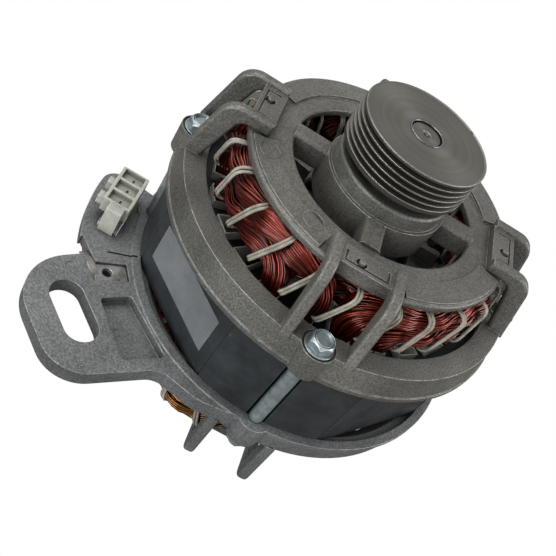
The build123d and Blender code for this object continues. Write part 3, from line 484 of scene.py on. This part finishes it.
def tubeMesh(name, paths, radiusMm, material, sides=6, shades=None):
    # sweeps a round section along closed paths and keeps each path's shade
    mesh = bpy.data.meshes.new(name)
    verts, faces, values = [], [], []
    for number, path in enumerate(paths):
        count = len(path)
        base = len(verts)
        shade = shades[number] if shades else 0.5
        normal = None
        for index, point in enumerate(path):
            along = (path[(index + 1) % count] - path[index - 1]).normalized()
            if normal is None:
                normal = along.orthogonal().normalized()
            normal = (normal - along * normal.dot(along)).normalized()
            side = along.cross(normal)
            for step in range(sides):
                angle = 2 * math.pi * step / sides
                verts.append(point + (normal * math.cos(angle) + side * math.sin(angle)) * radiusMm * mm)
                values.append(shade)
        for index in range(count):
            here = base + index * sides
            there = base + ((index + 1) % count) * sides
            shift = 0
            if index == count - 1:
                # the last ring meets the first at its nearest corner
                shift = min(range(sides), key=lambda k: (verts[here] - verts[base + k]).length)
            for step in range(sides):
                faces.append((here + step, here + (step + 1) % sides,
                              there + (step + 1 + shift) % sides, there + (step + shift) % sides))
    mesh.from_pydata(verts, [], faces)
    shadeLayer = mesh.attributes.new("wireShade", "FLOAT", "POINT")
    shadeLayer.data.foreach_set("value", values)
    mesh.polygons.foreach_set("use_smooth", [True] * len(mesh.polygons))
    return addPiece(mesh, material)


# Windings: every coil is a bundle of fine wires, each a closed loop through its two slots.
# A loop is half its angle in degrees, then the level of its rear and its front head.
# The bundle's hollow leaves out the wires inside, which don't show.
bundle = {"loops": ((37.5, 13.4, 91.4), (22.5, 21.4, 83.4)), "mainMm": (44.6, 53.0),
          "startMm": (37.6, 43.9), "wireRadiusMm": 0.37, "wireSides": 5, "pitchMm": 0.62,
          "columns": 13, "roundness": 1.15, "hollow": (0.62, 0.66), "cornerMm": 8.6, "stepMm": 2.1,
          "slotHalfMm": 1.9, "headHalfMm": 4.2, "headGrowMm": 0.9, "freeMm": 9, "freeCurve": 0.7,
          "inwardMm": 1.2, "outwardMm": 1.7, "twist": 0.8, "loose": 1.1, "pinch": 0.3,
          "tieGapDegrees": 15}
# How far the rear heads lean outwards, all round and beside the lug
lean = {"lugDegrees": 158, "focus": 10, "allRoundMm": 1.0, "lugMm": 8.2, "depthMm": 20, "curve": 1.3,
        "mainFromMm": 45, "startShare": 0.4}


def flare(angle, zMm):
    # the rear heads lean outwards between the arches, most of all on the lug's side
    depth = min(1.0, max(0.0, stackBottomMm - zMm) / lean["depthMm"])
    lugSide = max(0.0, math.cos(angle + math.radians(lean["lugDegrees"]))) ** lean["focus"]
    return depth ** lean["curve"] * (lean["allRoundMm"] + lean["lugMm"] * lugSide)


def loopPath(centre, halfAngle, middleMm, radialMm, lowMm, highMm, row, column, sway):
    # a rounded rectangle laid on a cylinder; row and column, -1..1, place the wire in the bundle
    half = math.radians(halfAngle) * middleMm
    corner = bundle["cornerMm"]
    slotHalf, headHalf = bundle["slotHalfMm"], bundle["headHalfMm"]
    leanShare = 1.0 if middleMm > lean["mainFromMm"] else lean["startShare"]
    outline = []
    for cx, cz, start in ((half - corner, highMm - corner, 0), (corner - half, highMm - corner, 90),
                          (corner - half, lowMm + corner, 180), (half - corner, lowMm + corner, 270)):
        for step in range(7):
            turn = math.radians(start + 90 * step / 6)
            outline.append((cx + corner * math.cos(turn), cz + corner * math.sin(turn),
                            math.cos(turn), math.sin(turn)))
    path = []
    for index, (x, z, outX, outZ) in enumerate(outline):
        nextX, nextZ, nextOutX, nextOutZ = outline[(index + 1) % len(outline)]
        pieces = max(1, int(math.hypot(nextX - x, nextZ - z) / bundle["stepMm"]))
        if abs(nextX - x) < 0.1:
            pieces = 6  # the straight run inside a slot
        for step in range(pieces):
            share = step / pieces
            alongX, alongZ = x + (nextX - x) * share, z + (nextZ - z) * share
            awayX, awayZ = outX + (nextOutX - outX) * share, outZ + (nextOutZ - outZ) * share
            # free is 0 inside the stack and 1 well out in a head
            out = max(0.0, alongZ - stackTopMm, stackBottomMm - alongZ)
            free = min(1.0, out / bundle["freeMm"]) ** bundle["freeCurve"]
            tiePhase = math.degrees(alongX / middleMm) / bundle["tieGapDegrees"] * math.pi
            squeeze = bundle["loose"] - bundle["pinch"] * free * math.cos(tiePhase) ** 2
            twist = bundle["twist"] * free * math.sin(alongX / half * math.pi)
            u = row * (radialMm + bundle["headGrowMm"] * free) * squeeze + sway(alongX, alongZ) * free
            v = column * (slotHalf + (headHalf - slotHalf) * free)
            v = v * squeeze + sway(alongZ + 40, alongX) * 0.8 * free
            across = u * math.cos(twist) - v * math.sin(twist)
            away = v * math.cos(twist) + u * math.sin(twist)
            across = max(-radialMm - bundle["inwardMm"], min(radialMm + bundle["outwardMm"] * free, across))
            height = alongZ + awayZ * away
            angle = math.radians(centre) + (alongX + awayX * away) / middleMm
            radius = middleMm + across + flare(angle, height) * leanShare
            path.append(Vector((radius * math.cos(angle), radius * math.sin(angle), height)) * mm)
    return path


def coilBundle(name, centre, reachMm, seed):
    dice = random.Random(seed)
    innerMm, outerMm = reachMm
    middle = (innerMm + outerMm) / 2
    radial = (outerMm - innerMm) / 2 - 0.5
    rows = max(3, round((outerMm - innerMm) / bundle["pitchMm"]))
    paths, shades = [], []
    for halfAngle, low, high in bundle["loops"]:
        for row in range(rows):
            for column in range(bundle["columns"]):
                spreadRow = (row + 0.5) / rows * 2 - 1
                spreadColumn = (column + 0.5) / bundle["columns"] * 2 - 1
                corner = spreadRow ** 4 + spreadColumn ** 4 > bundle["roundness"]
                hidden = abs(spreadRow) < bundle["hollow"][0] and abs(spreadColumn) < bundle["hollow"][1]
                if corner or hidden:
                    continue
                phase, pace, reach = dice.uniform(0, 6.3), dice.uniform(0.1, 0.22), dice.uniform(0.15, 0.6)

                def sway(first, second, phase=phase, pace=pace, reach=reach):
                    return (reach * math.sin(first * pace + phase)
                            + 0.25 * reach * math.sin(first * 0.7 + phase * 3))

                paths.append(loopPath(centre, halfAngle, middle, radial, low, high,
                                      spreadRow, spreadColumn, sway))
                shades.append(dice.random())
    obj = tubeMesh(name, paths, bundle["wireRadiusMm"], enamelledCopper, bundle["wireSides"], shades)
    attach(obj, "root")
    return obj


for number, angle in enumerate(poleAngles, 1):
    main = coilBundle("mainWinding%d" % number, angle - 45, bundle["mainMm"], 10 + number)
    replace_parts(main, "main_coils_%d" % number)
    start = coilBundle("startWinding%d" % number, angle, bundle["startMm"], 20 + number)
    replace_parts(start, "start_coils_%d" % number)
print("windings wound")


# Lacing: a slanting double loop of cord at every slot
tie = {"slots": 24, "innerMm": 36.7, "outerMm": 55.3, "cordRadiusMm": 0.56, "cordSides": 7,
       "cornerMm": 3.4, "lowMm": 6.2, "highMm": 23.4, "twinTurn": 1.05, "skew": 1.2, "slant": (3.5, 8.0),
       "leanFromMm": 46, "leanShare": 0.86}


def lacedHead(name, side, seed):
    dice = random.Random(seed)
    paths, shades = [], []
    edge = stackTopMm if side > 0 else stackBottomMm
    for slotNumber in range(tie["slots"]):
        base = 360 / tie["slots"] * slotNumber + dice.uniform(-tie["skew"], tie["skew"])
        slant = dice.uniform(*tie["slant"])
        for twin in (0, 1):
            low = tie["lowMm"] + dice.uniform(-0.3, 0.4)
            high = tie["highMm"] + dice.uniform(-0.7, 0.3)
            outerLow = tie["outerMm"] + dice.uniform(-0.3, 0.3)
            outerHigh = tie["outerMm"] + dice.uniform(-0.4, 0.2)
            corners = [Vector((tie["innerMm"], low)), Vector((outerLow, low)),
                       Vector((outerHigh, high)), Vector((tie["innerMm"], high))]
            path = []
            for index, here in enumerate(corners):
                before, after = corners[index - 1], corners[(index + 1) % 4]
                toBefore = (before - here).normalized() * tie["cornerMm"]
                toAfter = (after - here).normalized() * tie["cornerMm"]
                for step in range(5):
                    t = step / 4
                    path.append(here + toBefore * (1 - t) ** 2 + toAfter * t ** 2)
                legStart, legEnd = path[-1], after - toAfter
                for step in range(1, 4):
                    path.append(legStart.lerp(legEnd, step / 4))
            ring = []
            for radius, height in path:
                share = (height - low) / (high - low)
                angle = math.radians(base + slant * (share - 0.5) + (twin - 0.5) * tie["twinTurn"])
                z = edge + side * height
                if radius > tie["leanFromMm"]:
                    radius += flare(angle, z) * tie["leanShare"]
                ring.append(Vector((radius * math.cos(angle), radius * math.sin(angle), z)) * mm)
            paths.append(ring)
            shades.append(dice.random())
    obj = tubeMesh(name, paths, tie["cordRadiusMm"], lacingCord, tie["cordSides"], shades)
    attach(obj, "root")
    return obj


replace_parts(lacedHead("frontLacingCord", 1, 5), "front_lacing")
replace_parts(lacedHead("rearLacingCord", -1, 6), "rear_lacing")
print("lacing tied")


# A cast stud stands in each arch pad
studs = {"circleMm": 48.0, "turn": -2.5, "radiusMm": 1.35, "draft": 0.86, "heightMm": 3.4, "edgeMm": 0.3,
         "frontMm": 102.2, "rearMm": 2.4}


def castStuds(name):
    shape = bmesh.new()
    for angle in poleAngles:
        for side in (1, -1):
            made = bmesh.ops.create_cone(shape, cap_ends=True, segments=28, radius1=studs["radiusMm"] * mm,
                                         radius2=studs["radiusMm"] * studs["draft"] * mm,
                                         depth=studs["heightMm"] * mm)
            tops = [e for e in shape.edges if all(v in made["verts"] and v.co.z > 0 for v in e.verts)]
            bmesh.ops.bevel(shape, geom=tops, offset=studs["edgeMm"] * mm, offset_type="OFFSET", segments=2,
                            profile=0.5, affect="EDGES", material=-1)
            # what is still near the origin is the stud just made
            fresh = [v for v in shape.verts if v.co.xy.length < 5 * mm and abs(v.co.z) < 2 * mm]
            turn = math.radians(angle + studs["turn"])
            away = studs["circleMm"]
            level = studs["frontMm"] if side > 0 else studs["rearMm"]
            spot = Vector((math.cos(turn) * away, math.sin(turn) * away, level)) * mm
            for v in fresh:
                v.co.z *= side
                v.co += spot
    bmesh.ops.recalc_face_normals(shape, faces=shape.faces)
    # the studs take the copy of the casting with painted shade
    obj = pieceFrom(shape, name, shadedCastAluminium)
    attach(obj, "root")


# Thin raised rings: each is x, y, z and radius in mm, then the way it leans in radians and the slope
rings = {
    "ejectorMarks": {"tubeMm": 0.2, "marks": ((-86.4, 24.4, 34.9, 2.2, 1.9, 0.12),
                                              (-78.6, -2.4, 31.3, 1.8, 2.2, 0.12),
                                              (-97.2, -11.9, 34.9, 2.0, 4.2, 0.12))},
    "foundryRounds": {"tubeMm": 0.3, "marks": ((-42.5, 15.4, 100.62, 3.6, 0.0, 0.0),
                                               (-41.6, -13.3, 100.62, 3.6, 0.0, 0.0))},
    "shaftLip": {"tubeMm": 0.32, "marks": ((0.0, 0.0, 124.3, 6.1, 0.0, 0.0),)},
}


def ringMarks(name, material, body):
    paths = []
    for x, y, z, radius, way, slope in rings[name]["marks"]:
        leanWay = Vector((math.cos(way), math.sin(way), 0))
        path = []
        for step in range(36):
            turn = 2 * math.pi * step / 36
            around = Vector((math.cos(turn), math.sin(turn), 0)) * radius
            path.append((Vector((x, y, z)) + around + Vector((0, 0, around.dot(leanWay) * slope))) * mm)
        paths.append(path)
    obj = tubeMesh(name, paths, rings[name]["tubeMm"], material)
    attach(obj, body)


castStuds("padStuds")
ringMarks("ejectorMarks", castAluminium, "root")  # left by the die's pins on the lug
# the rounds take the copy of the casting with painted shade
ringMarks("foundryRounds", shadedCastAluminium, "root")  # two plain rounds on the front ring
ringMarks("shaftLip", groundSteel, "rotor")  # bright turned lip round the shaft end

# Spring clip of the earth contact, lying in the notch beside the tab
clip = {"widthMm": 2.9, "lengthMm": 13.4, "thickMm": 0.5, "humpMm": 1.5, "bends": 11,
        "placeMm": (-78.7, 24.9, 33.1)}


def earthClip():
    shape = bmesh.new()
    bmesh.ops.create_cube(shape, size=mm)
    bmesh.ops.scale(shape, vec=(clip["widthMm"], clip["lengthMm"], clip["thickMm"]), verts=shape.verts)
    lengthwise = [e for e in shape.edges if abs(e.verts[0].co.y - e.verts[1].co.y) > mm]
    bmesh.ops.subdivide_edges(shape, edges=lengthwise, cuts=clip["bends"], use_grid_fill=True)
    for v in shape.verts:
        v.co.z += math.cos(v.co.y / (clip["lengthMm"] * mm) * math.pi) * clip["humpMm"] * mm
    bmesh.ops.translate(shape, vec=Vector(clip["placeMm"]) * mm, verts=shape.verts)
    obj = pieceFrom(shape, "earthClip", zincTab)
    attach(obj, "root")


earthClip()

# Web of the casting that joins the connector flange to the lug as far as the notch
web = {"corners": ((-67.2, 29.2), (-77.0, 29.2), (-77.0, 33.6)), "topMm": 34.97, "thickMm": 4.3}


def flangeWeb():
    shape = bmesh.new()
    corners = [shape.verts.new(Vector((x, y, web["topMm"])) * mm) for x, y in web["corners"]]
    shape.faces.new(corners)
    made = bmesh.ops.extrude_face_region(shape, geom=shape.faces[:])["geom"]
    low = [v for v in made if isinstance(v, bmesh.types.BMVert)]
    bmesh.ops.translate(shape, vec=(0, 0, -web["thickMm"] * mm), verts=low)
    bmesh.ops.recalc_face_normals(shape, faces=shape.faces)
    obj = pieceFrom(shape, "flangeWeb", castAluminium)
    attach(obj, "root")


flangeWeb()
print("casting marks, clip and web added")


# Light: a wide soft sky, a large key from above and three lower fills
lamps = {
    "keyLight": {"place": (-0.25, 0.35, 0.85), "target": (0, 0, 0.08), "size": 0.6, "power": 4.1,
                 "colour": (1, 0.985, 0.95)},
    "sideLight": {"place": (0.55, -0.5, 0.35), "target": (0, 0, 0.06), "size": 0.5, "power": 3.3,
                  "colour": (1, 1, 1)},
    "lowLight": {"place": (-0.15, -0.8, 0.12), "target": (0, 0, 0.05), "size": 0.5, "power": 1.4,
                 "colour": (1, 0.985, 0.95)},
    "lugLight": {"place": (-0.75, -0.15, 0.25), "target": (-0.04, 0, 0.05), "size": 0.5, "power": 4.2,
                 "colour": (0.97, 0.99, 1)},
}

for name, lamp in lamps.items():
    data = bpy.data.lights.new(name, "AREA")
    data.shape = "DISK"
    data.size = lamp["size"]
    data.energy = lamp["power"]
    data.color = lamp["colour"]
    obj = bpy.data.objects.new(name, data)
    bpy.context.scene.collection.objects.link(obj)
    obj.location = lamp["place"]
    towards = Vector(lamp["target"]) - Vector(lamp["place"])
    obj.rotation_euler = towards.to_track_quat("-Z", "Y").to_euler()

# The room is white where it is seen and a soft grey, brighter overhead, as light on the object
room = {"low": 0.12, "high": 0.75, "seen": (1.0, 1.0, 1.0, 1.0)}
world = bpy.data.worlds.new("paleRoom")
world.use_nodes = True
bpy.context.scene.world = world
sky = world.node_tree
sky.nodes.clear()
cameraSees = addNode(sky, "ShaderNodeLightPath", "Is Camera Ray")
direction = addNode(sky, "ShaderNodeTexCoord", "Generated")
upward = addNode(sky, "ShaderNodeSeparateXYZ", "Z", {0: direction})
glow = addNode(sky, "ShaderNodeMapRange", "Result",
               {"Value": upward, "From Min": -0.6, "From Max": 0.9,
                "To Min": room["low"], "To Max": room["high"]})
shown = addNode(sky, "ShaderNodeMix", 2, {0: cameraSees, 6: glow, 7: room["seen"]}, data_type="RGBA")
background = addNode(sky, "ShaderNodeBackground", 0, {"Color": shown, "Strength": 1.0})
addNode(sky, "ShaderNodeOutputWorld", None, {"Surface": background})

# A plain pale floor, evenly lit and low enough to leave the underside in view
floor = {"radius": 3.0, "drop": 0.6, "bounce": (0.14, 0.14, 0.14, 1.0), "pale": (1.0, 1.0, 1.0, 1.0)}
floorPaint = bpy.data.materials.new("paleFloorPaint")
floorPaint.use_nodes = True
paint = floorPaint.node_tree
paint.nodes.clear()
floorSeen = addNode(paint, "ShaderNodeLightPath", "Is Camera Ray")
floorTone = addNode(paint, "ShaderNodeMix", 2, {0: floorSeen, 6: floor["bounce"], 7: floor["pale"]},
                    data_type="RGBA")
floorGlow = addNode(paint, "ShaderNodeEmission", 0, {"Color": floorTone})
addNode(paint, "ShaderNodeOutputMaterial", None, {"Surface": floorGlow})
disk = bmesh.new()
bmesh.ops.create_circle(disk, cap_ends=True, segments=64, radius=floor["radius"])
bmesh.ops.translate(disk, vec=(0, 0, -floor["drop"]), verts=disk.verts)
pieceFrom(disk, "paleFloor", floorPaint)

# Camera, worked out from the photo's coaxial circles
photoView = {"sensorMm": 36, "lensMm": 54.117, "shift": (-0.02224, 0.07955), "nearest": 0.02,
             "matrix": ((0.76493, 0.13258, -0.63032, -0.211035),
                        (-0.4444, 0.81699, -0.36747, -0.128734),
                        (0.46625, 0.5612, 0.68386, 0.253448),
                        (0, 0, 0, 1))}
cameraData = bpy.data.cameras.new("photoCamera")
cameraData.sensor_width = photoView["sensorMm"]
cameraData.lens = photoView["lensMm"]
cameraData.shift_x, cameraData.shift_y = photoView["shift"]
cameraData.clip_start = photoView["nearest"]
camera = bpy.data.objects.new("photoCamera", cameraData)
bpy.context.scene.collection.objects.link(camera)
camera.matrix_world = Matrix(photoView["matrix"])
bpy.context.scene.camera = camera
bpy.context.scene.view_settings.view_transform = "Standard"
print("lights and camera set")
